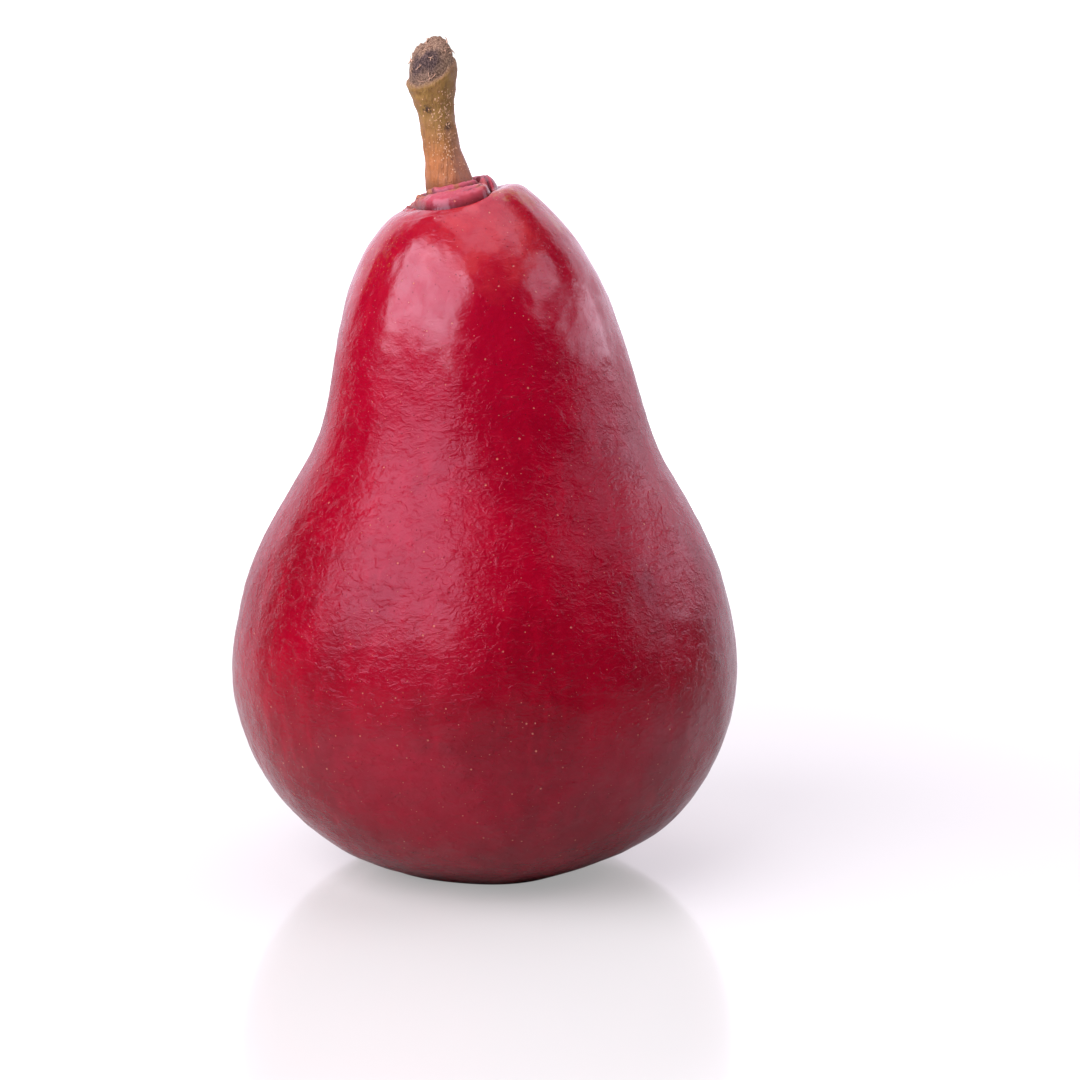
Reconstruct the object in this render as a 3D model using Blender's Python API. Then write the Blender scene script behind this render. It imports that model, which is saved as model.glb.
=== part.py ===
"""A ripe red pear standing on its base: fruit, stem, five sepals and the dry stamens.

Metres, +Z up. The origin is on the surface that the pear stands on, under the middle
of the belly. The neck and the stem lean towards -X, and the front of the pear is -Y.
"""

import math

import bmesh
import bpy
import numpy as np
from mathutils import Matrix, Vector

MM = 0.001

# Fruit outline: the radius of each station, and its rise above the station below it.
REST_RADIUS = 13.0 * MM
REST_WIDTH = 2.2 * MM
HEEL_RADIUS = 25.6 * MM
HEEL_RISE = 6.0 * MM
HAUNCH_RADIUS = 33.9 * MM
HAUNCH_RISE = 11.5 * MM
BELLY_RADIUS = 36.0 * MM
BELLY_RISE = 14.0 * MM
FLANK_RADIUS = 31.2 * MM
FLANK_RISE = 16.5 * MM
WAIST_RADIUS = 23.8 * MM
WAIST_RISE = 13.5 * MM
NECK_RADIUS = 20.0 * MM
NECK_RISE = 14.5 * MM
CROWN_RADIUS = 14.8 * MM
CROWN_RISE = 12.6 * MM
SHOULDER_RADIUS = 9.4 * MM
SHOULDER_RISE = 5.6 * MM

# Fruit top: a shallow crease, then a fleshy collar that grips the stem.
CREASE_RADIUS = 6.1 * MM
CREASE_RISE = 0.8 * MM
COLLAR_RADIUS = 5.0 * MM
COLLAR_RISE = 1.2 * MM
COLLAR_LOBE = 1.3 * MM
COLLAR_LOBE_TURN = math.radians(35)

# Fruit underside: the calyx basin, and the narrow tube in the middle of it.
BASIN_DEPTH = 6.4 * MM
BASIN_FLOOR_RADIUS = 4.6 * MM
TUBE_RADIUS = 2.3 * MM
TUBE_DEPTH = 4.6 * MM

# How the fruit grew out of true.
CROWN_LEAN = math.radians(13)
CROWN_SHIFT = 4.6 * MM
LOBES = 5
LOBE_DEPTH = 0.45 * MM
LOBE_FADE_HEIGHT = 24.0 * MM

# Stem: its length above the collar, its seat in the fruit, its radii and its slanted end.
STEM_LENGTH = 16.7 * MM
STEM_SEAT = 4.5 * MM
STEM_FOOT_RADIUS = 2.6 * MM
STEM_BASE_RADIUS = 3.4 * MM
STEM_SHANK_RADIUS = 2.55 * MM
STEM_BASE_LENGTH = 6.5 * MM
STEM_FLARE_LENGTH = 6.5 * MM
STEM_TIP_RADIUS = 3.5 * MM
STEM_TIP_LEAN = math.radians(5)
STEM_FORWARD_LEAN = math.radians(4)
STEM_END_SLANT = math.radians(27)
STEM_END_TURN = math.radians(225)
STEM_END_DOME = 4.3 * MM
STEM_RIM_ROUND = 0.5 * MM

# Calyx: five reflexed sepals round the tube, and the stamens inside it.
SEPAL_COUNT = 5
SEPAL_LENGTH = 5.4 * MM
SEPAL_THICKNESS = 0.6 * MM
SEPAL_TIP_WIDTH = 0.5 * MM
SEPAL_SPACING = 0.4 * MM
SEPAL_ROOT_LEAN = math.radians(8)
SEPAL_TIP_LEAN = math.radians(75)
STAMEN_COUNT = 15
STAMEN_LENGTH = 5.6 * MM
STAMEN_DISC_THICKNESS = 0.8 * MM
STAMEN_RING_WIDTH = 0.45 * MM
STAMEN_TIP_SHARE = 0.45

# Gap that every piece keeps to the piece it sits in.
CLEARANCE = 0.3 * MM

# Fineness of the meshes.
FRUIT_SEGMENTS = 60
FRUIT_OUTLINE_STEPS = 40
STEM_SEGMENTS = 20
STEM_RINGS = 14
SOCKET_RINGS = 4
SEPAL_STEPS_ALONG = 6
SEPAL_STEPS_ACROSS = 4
STAMEN_STEPS = 3


def clear_scene():
    for obj in list(bpy.data.objects):
        bpy.data.objects.remove(obj)


def material(name, colour, roughness):
    """A plain Principled material: colour is linear RGB."""
    made = bpy.data.materials.new(name)
    made.use_nodes = True
    shader = made.node_tree.nodes["Principled BSDF"]
    shader.inputs["Base Color"].default_value = (*colour, 1.0)
    shader.inputs["Roughness"].default_value = roughness
    shader.inputs["Metallic"].default_value = 0.0
    return made


def add_object(name, mesh_data, finish):
    """Turns a bmesh into a smooth-shaded object of the scene and frees the bmesh."""
    bmesh.ops.recalc_face_normals(mesh_data, faces=mesh_data.faces)
    mesh = bpy.data.meshes.new(name)
    mesh_data.to_mesh(mesh)
    mesh_data.free()
    mesh.shade_smooth()
    mesh.set_sharp_from_angle(angle=math.radians(40))
    mesh.materials.append(finish)
    obj = bpy.data.objects.new(name, mesh)
    bpy.context.scene.collection.objects.link(obj)
    return obj


def smooth_curve(points, count):
    """count + 1 points along the natural cubic spline through the given points."""
    points = np.array(points, float)
    at = np.concatenate([[0], np.cumsum(np.linalg.norm(np.diff(points, axis=0), axis=1) ** 0.5)])
    gap = np.diff(at)
    last = len(points) - 1
    matrix = np.eye(last + 1)
    bend = np.zeros_like(points)
    for i in range(1, last):
        matrix[i, i - 1 : i + 2] = gap[i - 1], 2 * (gap[i - 1] + gap[i]), gap[i]
        slope_change = (points[i + 1] - points[i]) / gap[i] - (points[i] - points[i - 1]) / gap[i - 1]
        bend[i] = 6 * slope_change
    bend = np.linalg.solve(matrix, bend)
    found = []
    for t in np.linspace(0, at[-1], count + 1):
        i = min(int(np.searchsorted(at, t, side="right")) - 1, last - 1)
        left, right, h = t - at[i], at[i + 1] - t, gap[i]
        found.append(
            (bend[i] * right**3 + bend[i + 1] * left**3) / (6 * h)
            + (points[i] / h - bend[i] * h / 6) * right
            + (points[i + 1] / h - bend[i + 1] * h / 6) * left
        )
    return [tuple(p) for p in found]


def stations():
    """(radius, height) of each named station of the fruit's outside, from the base up."""
    rises = [
        (REST_RADIUS + REST_WIDTH / 2, 0.0),
        (HEEL_RADIUS, HEEL_RISE),
        (HAUNCH_RADIUS, HAUNCH_RISE),
        (BELLY_RADIUS, BELLY_RISE),
        (FLANK_RADIUS, FLANK_RISE),
        (WAIST_RADIUS, WAIST_RISE),
        (NECK_RADIUS, NECK_RISE),
        (CROWN_RADIUS, CROWN_RISE),
        (SHOULDER_RADIUS, SHOULDER_RISE),
        (CREASE_RADIUS, CREASE_RISE),
    ]
    height = 0.0
    found = []
    for radius, rise in rises:
        height += rise
        found.append((radius, height))
    return found


BELLY_HEIGHT = stations()[3][1]
CREASE_HEIGHT = stations()[-1][1]
COLLAR_HEIGHT = CREASE_HEIGHT + COLLAR_RISE


def fruit_axis(height):
    """Centre of the fruit's cross-section at a height, and how far it leans there."""
    share = max(0.0, (height - BELLY_HEIGHT) / (COLLAR_HEIGHT - BELLY_HEIGHT))
    return Vector((-CROWN_SHIFT * share**4, 0.0, height)), CROWN_LEAN * share**3


def grown(radius, angle, height):
    """The place of an outline point on the grown fruit: lobed at the base, leaning at the top."""
    fade = max(0.0, 1 - height / LOBE_FADE_HEIGHT)
    swell = LOBE_DEPTH * fade * math.cos(LOBES * angle) * min(1.0, radius / HEEL_RADIUS)
    centre, lean = fruit_axis(height)
    out = Vector((math.cos(angle), math.sin(angle), 0.0)) * (radius + swell)
    return centre + Matrix.Rotation(-lean, 3, "Y") @ out


def collar_lift(angle):
    """How far the collar rises against the stem at an angle: it has one high side."""
    return COLLAR_LOBE * max(0.0, math.cos(angle - COLLAR_LOBE_TURN))


def fruit_outline():
    """(radius, height) points from the end of the calyx tube to the crease round the collar."""
    floor = BASIN_DEPTH
    tube_end = floor + TUBE_DEPTH
    tube = [(0.0, tube_end), (TUBE_RADIUS * 0.6, tube_end - 0.1 * TUBE_DEPTH)]
    tube += [(TUBE_RADIUS, tube_end - 0.4 * TUBE_DEPTH), (TUBE_RADIUS, floor)]
    basin_rim = REST_RADIUS - REST_WIDTH / 2
    wall_radius = (basin_rim + BASIN_FLOOR_RADIUS) / 2
    basin = smooth_curve([(BASIN_FLOOR_RADIUS, floor), (wall_radius, 0.55 * floor), (basin_rim, 0.0)], 6)
    return tube + basin + smooth_curve(stations(), FRUIT_OUTLINE_STEPS)


def turns(segments):
    """Evenly spaced angles round a full circle."""
    return [2 * math.pi * i / segments for i in range(segments)]


def loft(rings):
    """A closed bmesh through rings of points: an end is capped, or closed by a single point."""
    mesh_data = bmesh.new()
    made = [[mesh_data.verts.new(point) for point in ring] for ring in rings]
    count = max(len(ring) for ring in made)
    for low, high in zip(made, made[1:]):
        for i in range(count):
            corners = [low[i % len(low)], low[(i + 1) % len(low)]]
            corners += [high[(i + 1) % len(high)], high[i % len(high)]]
            mesh_data.faces.new(list(dict.fromkeys(corners)))
    for end in (made[0][::-1], made[-1]):
        if len(end) > 1:
            mesh_data.faces.new(end)
    return mesh_data


def stem_path(s):
    """Centre of the stem at a distance from the collar, and the turn of its section there."""
    collar, base_lean = fruit_axis(COLLAR_HEIGHT)
    share = min(1.0, max(0.0, s / STEM_LENGTH))
    lean = base_lean + (STEM_TIP_LEAN - base_lean) * share
    mean_lean = (base_lean + lean) / 2
    forward = STEM_FORWARD_LEAN * share
    along = Vector((-math.sin(mean_lean), -math.sin(forward / 2), math.cos(mean_lean)))
    turn = Matrix.Rotation(-lean, 3, "Y") @ Matrix.Rotation(forward, 3, "X")
    return collar + along * s, turn


def stem_radius(s):
    """Radius of the stem at a distance from the collar."""
    marks = [-STEM_SEAT, 0.0, STEM_BASE_LENGTH, STEM_LENGTH - STEM_FLARE_LENGTH, STEM_LENGTH]
    radii = [STEM_FOOT_RADIUS, STEM_BASE_RADIUS, STEM_SHANK_RADIUS, STEM_SHANK_RADIUS, STEM_TIP_RADIUS]
    i = next((k for k in range(1, len(marks)) if s <= marks[k]), len(marks) - 1)
    share = min(1.0, max(0.0, (s - marks[i - 1]) / (marks[i] - marks[i - 1])))
    return radii[i - 1] + (radii[i] - radii[i - 1]) * share * share * (3 - 2 * share)


def stem_point(s, radius, angle, lift):
    """A point of the stem: its distance from the collar, radius, angle, and lift along the stem."""
    centre, turn = stem_path(s)
    return centre + turn @ Vector((radius * math.cos(angle), radius * math.sin(angle), lift))


def make_fruit(finish):
    """Skin and flesh as one solid: calyx tube, basin, outside, collar, and the stem's socket."""
    around = turns(FRUIT_SEGMENTS)
    rings = []
    for radius, height in fruit_outline():
        rings.append([grown(radius, angle, height) for angle in (around if radius > 0 else [0.0])])
    mouth = stem_radius(0.0) + CLEARANCE
    for radius, height_share in ((COLLAR_RADIUS, 0.75), ((COLLAR_RADIUS + mouth) / 2, 1.0), (mouth, 0.85)):
        s = (height_share - 1) * COLLAR_RISE
        rings.append([stem_point(s, radius, angle, height_share * collar_lift(angle)) for angle in around])
    floor = -STEM_SEAT - CLEARANCE
    for s in np.linspace(0.0, floor, SOCKET_RINGS + 1)[1:]:
        rings.append([stem_point(s, stem_radius(s) + CLEARANCE, angle, 0.0) for angle in around])
    rings.append([stem_point(floor, 0.0, 0.0, 0.0)])
    return add_object("fruit", loft(rings), finish)


def make_stem(finish):
    """The woody stem, broken off across its flared end on a slant."""
    sections = []
    for s in np.linspace(-STEM_SEAT, STEM_LENGTH - STEM_RIM_ROUND, STEM_RINGS):
        slant_share = max(0.0, 1 - (STEM_LENGTH - STEM_RIM_ROUND - s) / STEM_FLARE_LENGTH)
        sections.append((s, stem_radius(s), slant_share**2, 0.0))
    rounding = 0.3 * STEM_RIM_ROUND
    sections.append((STEM_LENGTH - rounding, STEM_TIP_RADIUS - rounding, 1.0, 0.0))
    for turn in np.radians((3, 20, 38, 56, 74, 84)):
        radius = math.cos(turn) * (STEM_TIP_RADIUS - STEM_RIM_ROUND)
        sections.append((STEM_LENGTH, radius, 1.0, STEM_END_DOME * math.sin(turn)))
    rings = []
    for s, radius, slant_share, lift in sections:
        slope = slant_share * math.tan(STEM_END_SLANT) * radius
        rings.append(
            [
                stem_point(s, radius, angle, lift - slope * math.cos(angle - STEM_END_TURN))
                for angle in turns(STEM_SEGMENTS)
            ]
        )
    return add_object("stem", loft(rings), finish)


def sepal_root():
    """(radius, height, width) of a sepal's root, hard against the mouth of the calyx tube."""
    radius = TUBE_RADIUS + SEPAL_THICKNESS
    height = BASIN_DEPTH - CLEARANCE - SEPAL_THICKNESS / 2 * math.sin(SEPAL_ROOT_LEAN)
    inner_radius = radius - SEPAL_THICKNESS / 2
    width = 2 * inner_radius * math.tan(math.pi / SEPAL_COUNT) - SEPAL_SPACING
    return radius, height, width


def make_sepal(name, turn, finish):
    """One dry sepal: a pointed blade that curls down and out from the tube's mouth."""
    radius, height, root_width = sepal_root()
    mesh_data = bmesh.new()
    rows = []
    step = SEPAL_LENGTH / SEPAL_STEPS_ALONG
    for i in range(SEPAL_STEPS_ALONG + 1):
        share = i / SEPAL_STEPS_ALONG
        width = SEPAL_TIP_WIDTH + (root_width - SEPAL_TIP_WIDTH) * (1 - share**1.6)
        row = []
        for j in range(SEPAL_STEPS_ACROSS + 1):
            across = (j / SEPAL_STEPS_ACROSS - 0.5) * width
            row.append(mesh_data.verts.new((radius, across, height)))
        rows.append(row)
        lean = SEPAL_ROOT_LEAN + (SEPAL_TIP_LEAN - SEPAL_ROOT_LEAN) * share
        radius += step * math.sin(lean)
        height -= step * math.cos(lean)
    for low, high in zip(rows, rows[1:]):
        for j in range(SEPAL_STEPS_ACROSS):
            mesh_data.faces.new((low[j], low[j + 1], high[j + 1], high[j]))
    sepal = add_object(name, mesh_data, finish)
    sepal.rotation_euler.z = turn
    thicken = sepal.modifiers.new("thickness", "SOLIDIFY")
    thicken.thickness = SEPAL_THICKNESS
    thicken.offset = 0.0
    return sepal


def make_stamens(finish):
    """The dry stamens: a disc in the calyx tube, with a ring of filaments and the styles."""
    disc_radius = TUBE_RADIUS - CLEARANCE
    disc_top = BASIN_DEPTH + 0.6 * TUBE_DEPTH - CLEARANCE
    mesh_data = bmesh.new()
    bmesh.ops.create_cone(
        mesh_data,
        cap_ends=True,
        segments=2 * STAMEN_COUNT,
        radius1=disc_radius,
        radius2=disc_radius,
        depth=STAMEN_DISC_THICKNESS,
        matrix=Matrix.Translation((0, 0, disc_top - STAMEN_DISC_THICKNESS / 2)),
    )
    mesh_data.faces.ensure_lookup_table()
    underside = min(mesh_data.faces, key=lambda face: face.calc_center_median().z)
    bmesh.ops.inset_region(mesh_data, faces=[underside], thickness=STAMEN_RING_WIDTH / 2)
    ring = bmesh.ops.inset_region(mesh_data, faces=[underside], thickness=STAMEN_RING_WIDTH)["faces"]
    ring.sort(key=lambda face: math.atan2(face.calc_center_median().y, face.calc_center_median().x))
    up = Vector((0, 0, 1))
    for root in [*ring[::2], underside]:
        tip = root
        for _ in range(STAMEN_STEPS):
            tip = bmesh.ops.extrude_discrete_faces(mesh_data, faces=[tip])["faces"][0]
            middle = tip.calc_center_median()
            shrink = STAMEN_TIP_SHARE ** (1 / STAMEN_STEPS)
            for vert in tip.verts:
                vert.co = middle + (vert.co - middle) * shrink
                vert.co -= up * STAMEN_LENGTH / STAMEN_STEPS
    return add_object("stamens", mesh_data, finish)


def main():
    clear_scene()
    skin = material("red_skin", (0.28, 0.006, 0.018), 0.28)
    bark = material("brown_bark", (0.34, 0.17, 0.07), 0.65)
    dry_sepal = material("dry_sepal", (0.16, 0.02, 0.02), 0.6)
    dry_stamen = material("dry_stamen", (0.06, 0.03, 0.02), 0.8)
    make_fruit(skin)
    make_stem(bark)
    for i in range(SEPAL_COUNT):
        turn = math.pi / 2 + 2 * math.pi * i / SEPAL_COUNT
        make_sepal(f"sepal_{i + 1}", turn, dry_sepal)
    make_stamens(dry_stamen)


main()
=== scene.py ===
"""A whole red pear standing by itself: waxy skin, a fleshy collar round the stem, and a dry calyx."""

import math

import bmesh
import bpy
import numpy as np
from mathutils import Matrix, Vector


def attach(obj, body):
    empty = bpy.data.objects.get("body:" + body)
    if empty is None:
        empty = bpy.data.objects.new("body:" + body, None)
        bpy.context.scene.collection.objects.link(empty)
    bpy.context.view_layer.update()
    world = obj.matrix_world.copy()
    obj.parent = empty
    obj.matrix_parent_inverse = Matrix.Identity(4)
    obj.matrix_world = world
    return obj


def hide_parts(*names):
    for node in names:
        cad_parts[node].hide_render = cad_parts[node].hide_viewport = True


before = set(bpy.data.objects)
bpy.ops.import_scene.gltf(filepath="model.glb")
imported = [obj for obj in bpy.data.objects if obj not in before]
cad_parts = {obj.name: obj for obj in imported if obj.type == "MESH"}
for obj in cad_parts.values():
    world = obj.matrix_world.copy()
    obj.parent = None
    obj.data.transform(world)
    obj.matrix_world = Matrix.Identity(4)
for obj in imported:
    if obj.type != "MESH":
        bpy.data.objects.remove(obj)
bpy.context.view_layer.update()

MM = 0.001

# Fruit outline in millimetres: (radius, height) of each station, from the base up.
REST_OUTER = (14.1, 0.0)
HEEL = (25.6, 6.0)
HAUNCH = (33.9, 17.5)
BELLY = (36.0, 31.5)
FLANK = (31.2, 48.0)
WAIST = (23.8, 61.5)
NECK = (20.0, 76.0)
CROWN = (14.8, 88.6)
SHOULDER = (9.4, 94.2)
SHOULDER_RIM = (7.7, 94.85)
SHOULDER_TOP = (6.1, 95.0)
COLLAR_FLOOR = (4.6, 95.0)
STEM_SOCKET = (2.4, 94.6)

# Underside in millimetres.
REST_INNER = 11.9
BASIN_DEPTH = 6.4
BASIN_FLOOR = 4.6
TUBE_MOUTH = 2.9
TUBE_RADIUS = 2.3
TUBE_DEPTH = 4.6

# How the fruit grew out of true, and where its stem stands.
COLLAR_HEIGHT = 96.2
CROWN_SHIFT = 4.6
CROWN_LEAN = math.radians(13)
LOBES = 5
LOBE_DEPTH = 0.45
LOBE_FADE_HEIGHT = 24.0

# The crown carries the collar's relief: it lies above this height and within this radius.
CROWN_FROM = 80.0
CROWN_REACH = 11.0

# Arcs in degrees round the fruit, 0 to the right and -90 to the front: start, end, and the soft
# length outside each.
LOW_ROLL_ARC = (-152, -30, 35, 22)
LOW_SWELL_ARC = (-92, -60, 55, 32)
HIGH_ROLL_ARC = (-145, -12, 30, 22)
LOBE_ARC = (-8, 118, 26, 50)
BACK_ROLL_ARC = (95, 200, 40, 25)
LEFT_FOLD_ARC = (165, 235, 25, 25)
UNDER_ARC = (-158, 22, 30, 14)
BETWEEN_ARC = (-140, -24, 25, 14)
CURL_ARC = (-66, -34, 16, 12)
NOTCH_ARC = (-12, 150, 14, 30)
INNER_ARC = (-10, 175, 18, 30)
CLEFT_ARC = (183, 205, 12, 12)
SCAR_ARC = (170, 228, 10, 20)
FOOT_ARC = (-150, 20, 20, 20)
SHOULDER_BUMP_ARC = (-45, 25, 35, 35)

# Radii of the collar's folds in millimetres.
LOW_ROLL_INNER = 4.1
LOW_ROLL_OUTER = 6.2
HIGH_ROLL_RADIUS = 3.55
LOBE_RADIUS = 4.9
BACK_ROLL_RADIUS = 4.3

# Stem in millimetres.
STEM_LENGTH = 16.7
STEM_SEAT = 3.5
STEM_FOOT_RADIUS = 2.6
STEM_BASE_RADIUS = 3.35
STEM_SHANK_RADIUS = 2.5
STEM_BASE_LENGTH = 6.5
STEM_FLARE_LENGTH = 6.5
STEM_TIP_RADIUS = 3.5
STEM_TIP_LEAN = math.radians(5)
STEM_FORWARD_LEAN = math.radians(4)
STEM_END_SLANT = math.radians(27)
STEM_END_TURN = math.radians(225)
STEM_END_DOME = 3.8
WART_ARC = (-85, -50, 25, 30)
BURNT_ARC = (215, 285, 35, 35)

# Places in millimetres, each with its reach.
TAN_SPOTS = (((2.4, -5.4, 95.4), 3.0), ((5.6, -4.8, 95.0), 2.6), ((9.5, -4.0, 91.5), 2.6))
STEM_SCARS = (((-7.6, -2.4, 107.5), 0.8), ((-5.0, -2.2, 105.0), 0.75), ((-4.4, -2.2, 100.5), 0.6))

SEPALS = 5
FRUIT_AROUND = 400
STEM_AROUND = 120

# The studio in metres: what its lights point at, and what its camera points at.
STUDIO_MIDDLE = Vector((0, 0, 0.06))
CAMERA_AIM = Vector((0.0078, 0, 0.0466))


# ------------ small helpers


def smoothstep(low, high, value):
    share = np.clip((value - low) / (high - low), 0.0, 1.0)
    return share * share * (3 - 2 * share)


def smooth_curve(points, count):
    """count + 1 points, evenly spaced, along the natural cubic spline through the given points."""
    points = np.array(points, float)
    at = np.concatenate([[0], np.cumsum(np.linalg.norm(np.diff(points, axis=0), axis=1) ** 0.5)])
    gap = np.diff(at)
    last = len(points) - 1
    matrix = np.eye(last + 1)
    bend = np.zeros_like(points)
    for i in range(1, last):
        matrix[i, i - 1 : i + 2] = gap[i - 1], 2 * (gap[i - 1] + gap[i]), gap[i]
        slope_change = (points[i + 1] - points[i]) / gap[i] - (points[i] - points[i - 1]) / gap[i - 1]
        bend[i] = 6 * slope_change
    bend = np.linalg.solve(matrix, bend)
    fine = np.linspace(0, at[-1], 40 * count)
    i = np.clip(np.searchsorted(at, fine, side="right") - 1, 0, last - 1)
    left, right, h = (fine - at[i])[:, None], (at[i + 1] - fine)[:, None], gap[i][:, None]
    curve = (bend[i] * right**3 + bend[i + 1] * left**3) / (6 * h)
    curve += (points[i] / h - bend[i] * h / 6) * right + (points[i + 1] / h - bend[i + 1] * h / 6) * left
    travelled = np.concatenate([[0], np.cumsum(np.linalg.norm(np.diff(curve, axis=0), axis=1))])
    even = np.linspace(0, travelled[-1], count + 1)
    return np.stack([np.interp(even, travelled, curve[:, k]) for k in range(2)], axis=1)


def put(name, data):
    """A new object in the scene."""
    obj = bpy.data.objects.new(name, data)
    bpy.context.scene.collection.objects.link(obj)
    return obj


def primitive(name, create, **settings):
    """A new mesh made by one of bmesh's create functions."""
    shape = bmesh.new()
    create(shape, **settings)
    mesh = bpy.data.meshes.new(name)
    shape.to_mesh(mesh)
    shape.free()
    return mesh


def evaluated_mesh(obj):
    """A new plain mesh of an object with its modifiers applied."""
    depsgraph = bpy.context.evaluated_depsgraph_get()
    depsgraph.update()
    return bpy.data.meshes.new_from_object(obj.evaluated_get(depsgraph))


def loft_object(name, rings):
    """A smooth object through rings of points in millimetres, each end closed by one middle point."""
    rings = np.asarray(rings, float)
    rows, around = rings.shape[:2]
    low = np.arange(rows - 1)[:, None] * around + np.arange(around)[None, :]
    low_next = np.arange(rows - 1)[:, None] * around + (np.arange(around)[None, :] + 1) % around
    faces = np.stack([low, low_next, low_next + around, low + around], axis=2).reshape(-1, 4).tolist()
    start_middle = rows * around
    end_middle = start_middle + 1
    last_ring = start_middle - around
    faces += [(start_middle, (i + 1) % around, i) for i in range(around)]
    faces += [(end_middle, last_ring + i, last_ring + (i + 1) % around) for i in range(around)]
    verts = np.vstack([rings.reshape(-1, 3), rings[0].mean(axis=0), rings[-1].mean(axis=0)]) * MM
    mesh = bpy.data.meshes.new(name)
    mesh.from_pydata(verts.tolist(), [], faces)
    mesh.shade_smooth()
    return put(name, mesh)


def paint(obj, name, values):
    """Stores one number per vertex; the middle points that close the ends take the last value."""
    values = np.ravel(values)
    values = np.concatenate([values, np.full(len(obj.data.vertices) - len(values), values[-1])])
    attribute = obj.data.attributes.new(name, "FLOAT", "POINT")
    attribute.data.foreach_set("value", values.astype(np.float32))


def angle_gap(angle, centre):
    """Signed angle from centre, in degrees, between -180 and 180."""
    return (np.degrees(angle) - centre + 180) % 360 - 180


def window(angle, start, end, soft_start, soft_end):
    """1 between two angles in degrees, falling to 0 over the soft lengths outside them."""
    middle, half = (start + end) / 2, (end - start) / 2
    off = angle_gap(angle, middle)
    rising = smoothstep(-half - soft_start, -half, off)
    return rising * (1 - smoothstep(half, half + soft_end, off))


def roll(distance, half_width):
    """Cross-section of a round fleshy roll, 1 high at its middle."""
    return np.sqrt(np.clip(1 - (distance / half_width) ** 2, 0, 1))


def crease(distance, half_width):
    return np.exp(-((distance / half_width) ** 2))


def wander(x, y, z, wavelength, seed, waves=14):
    """Smooth wandering values between about -1 and 1, from waves in seeded directions."""
    rng = np.random.default_rng(seed)
    total = np.zeros(np.broadcast(x, y, z).shape)
    for _ in range(waves):
        way = rng.normal(size=3)
        way *= 2 * math.pi / wavelength * rng.uniform(0.6, 1.6) / np.linalg.norm(way)
        total += np.sin(way[0] * x + way[1] * y + way[2] * z + rng.uniform(0, 2 * math.pi))
    return total / math.sqrt(waves)


# ------------ shape of the pear


def fruit_axis(height):
    """Sideways place and lean of the fruit's section at each height."""
    share = np.clip((height - BELLY[1]) / (COLLAR_HEIGHT - BELLY[1]), 0, None)
    return -CROWN_SHIFT * share**4, CROWN_LEAN * share**3


def grown(radius, angle, height, lift):
    """Points of the fruit: lobed at the base, leaning at the top, and raised by lift along its lean."""
    fade = np.clip(1 - height / LOBE_FADE_HEIGHT, 0, None)
    swell = LOBE_DEPTH * fade * np.cos(LOBES * angle) * np.clip(radius / HEEL[0], 0, 1)
    side, lean = fruit_axis(height)
    out = radius + swell
    x, y = out * np.cos(angle), out * np.sin(angle)
    across = side + x * np.cos(lean) - lift * np.sin(lean)
    up = height + x * np.sin(lean) + lift * np.cos(lean)
    return np.stack([across, y, up], axis=-1)


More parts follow.
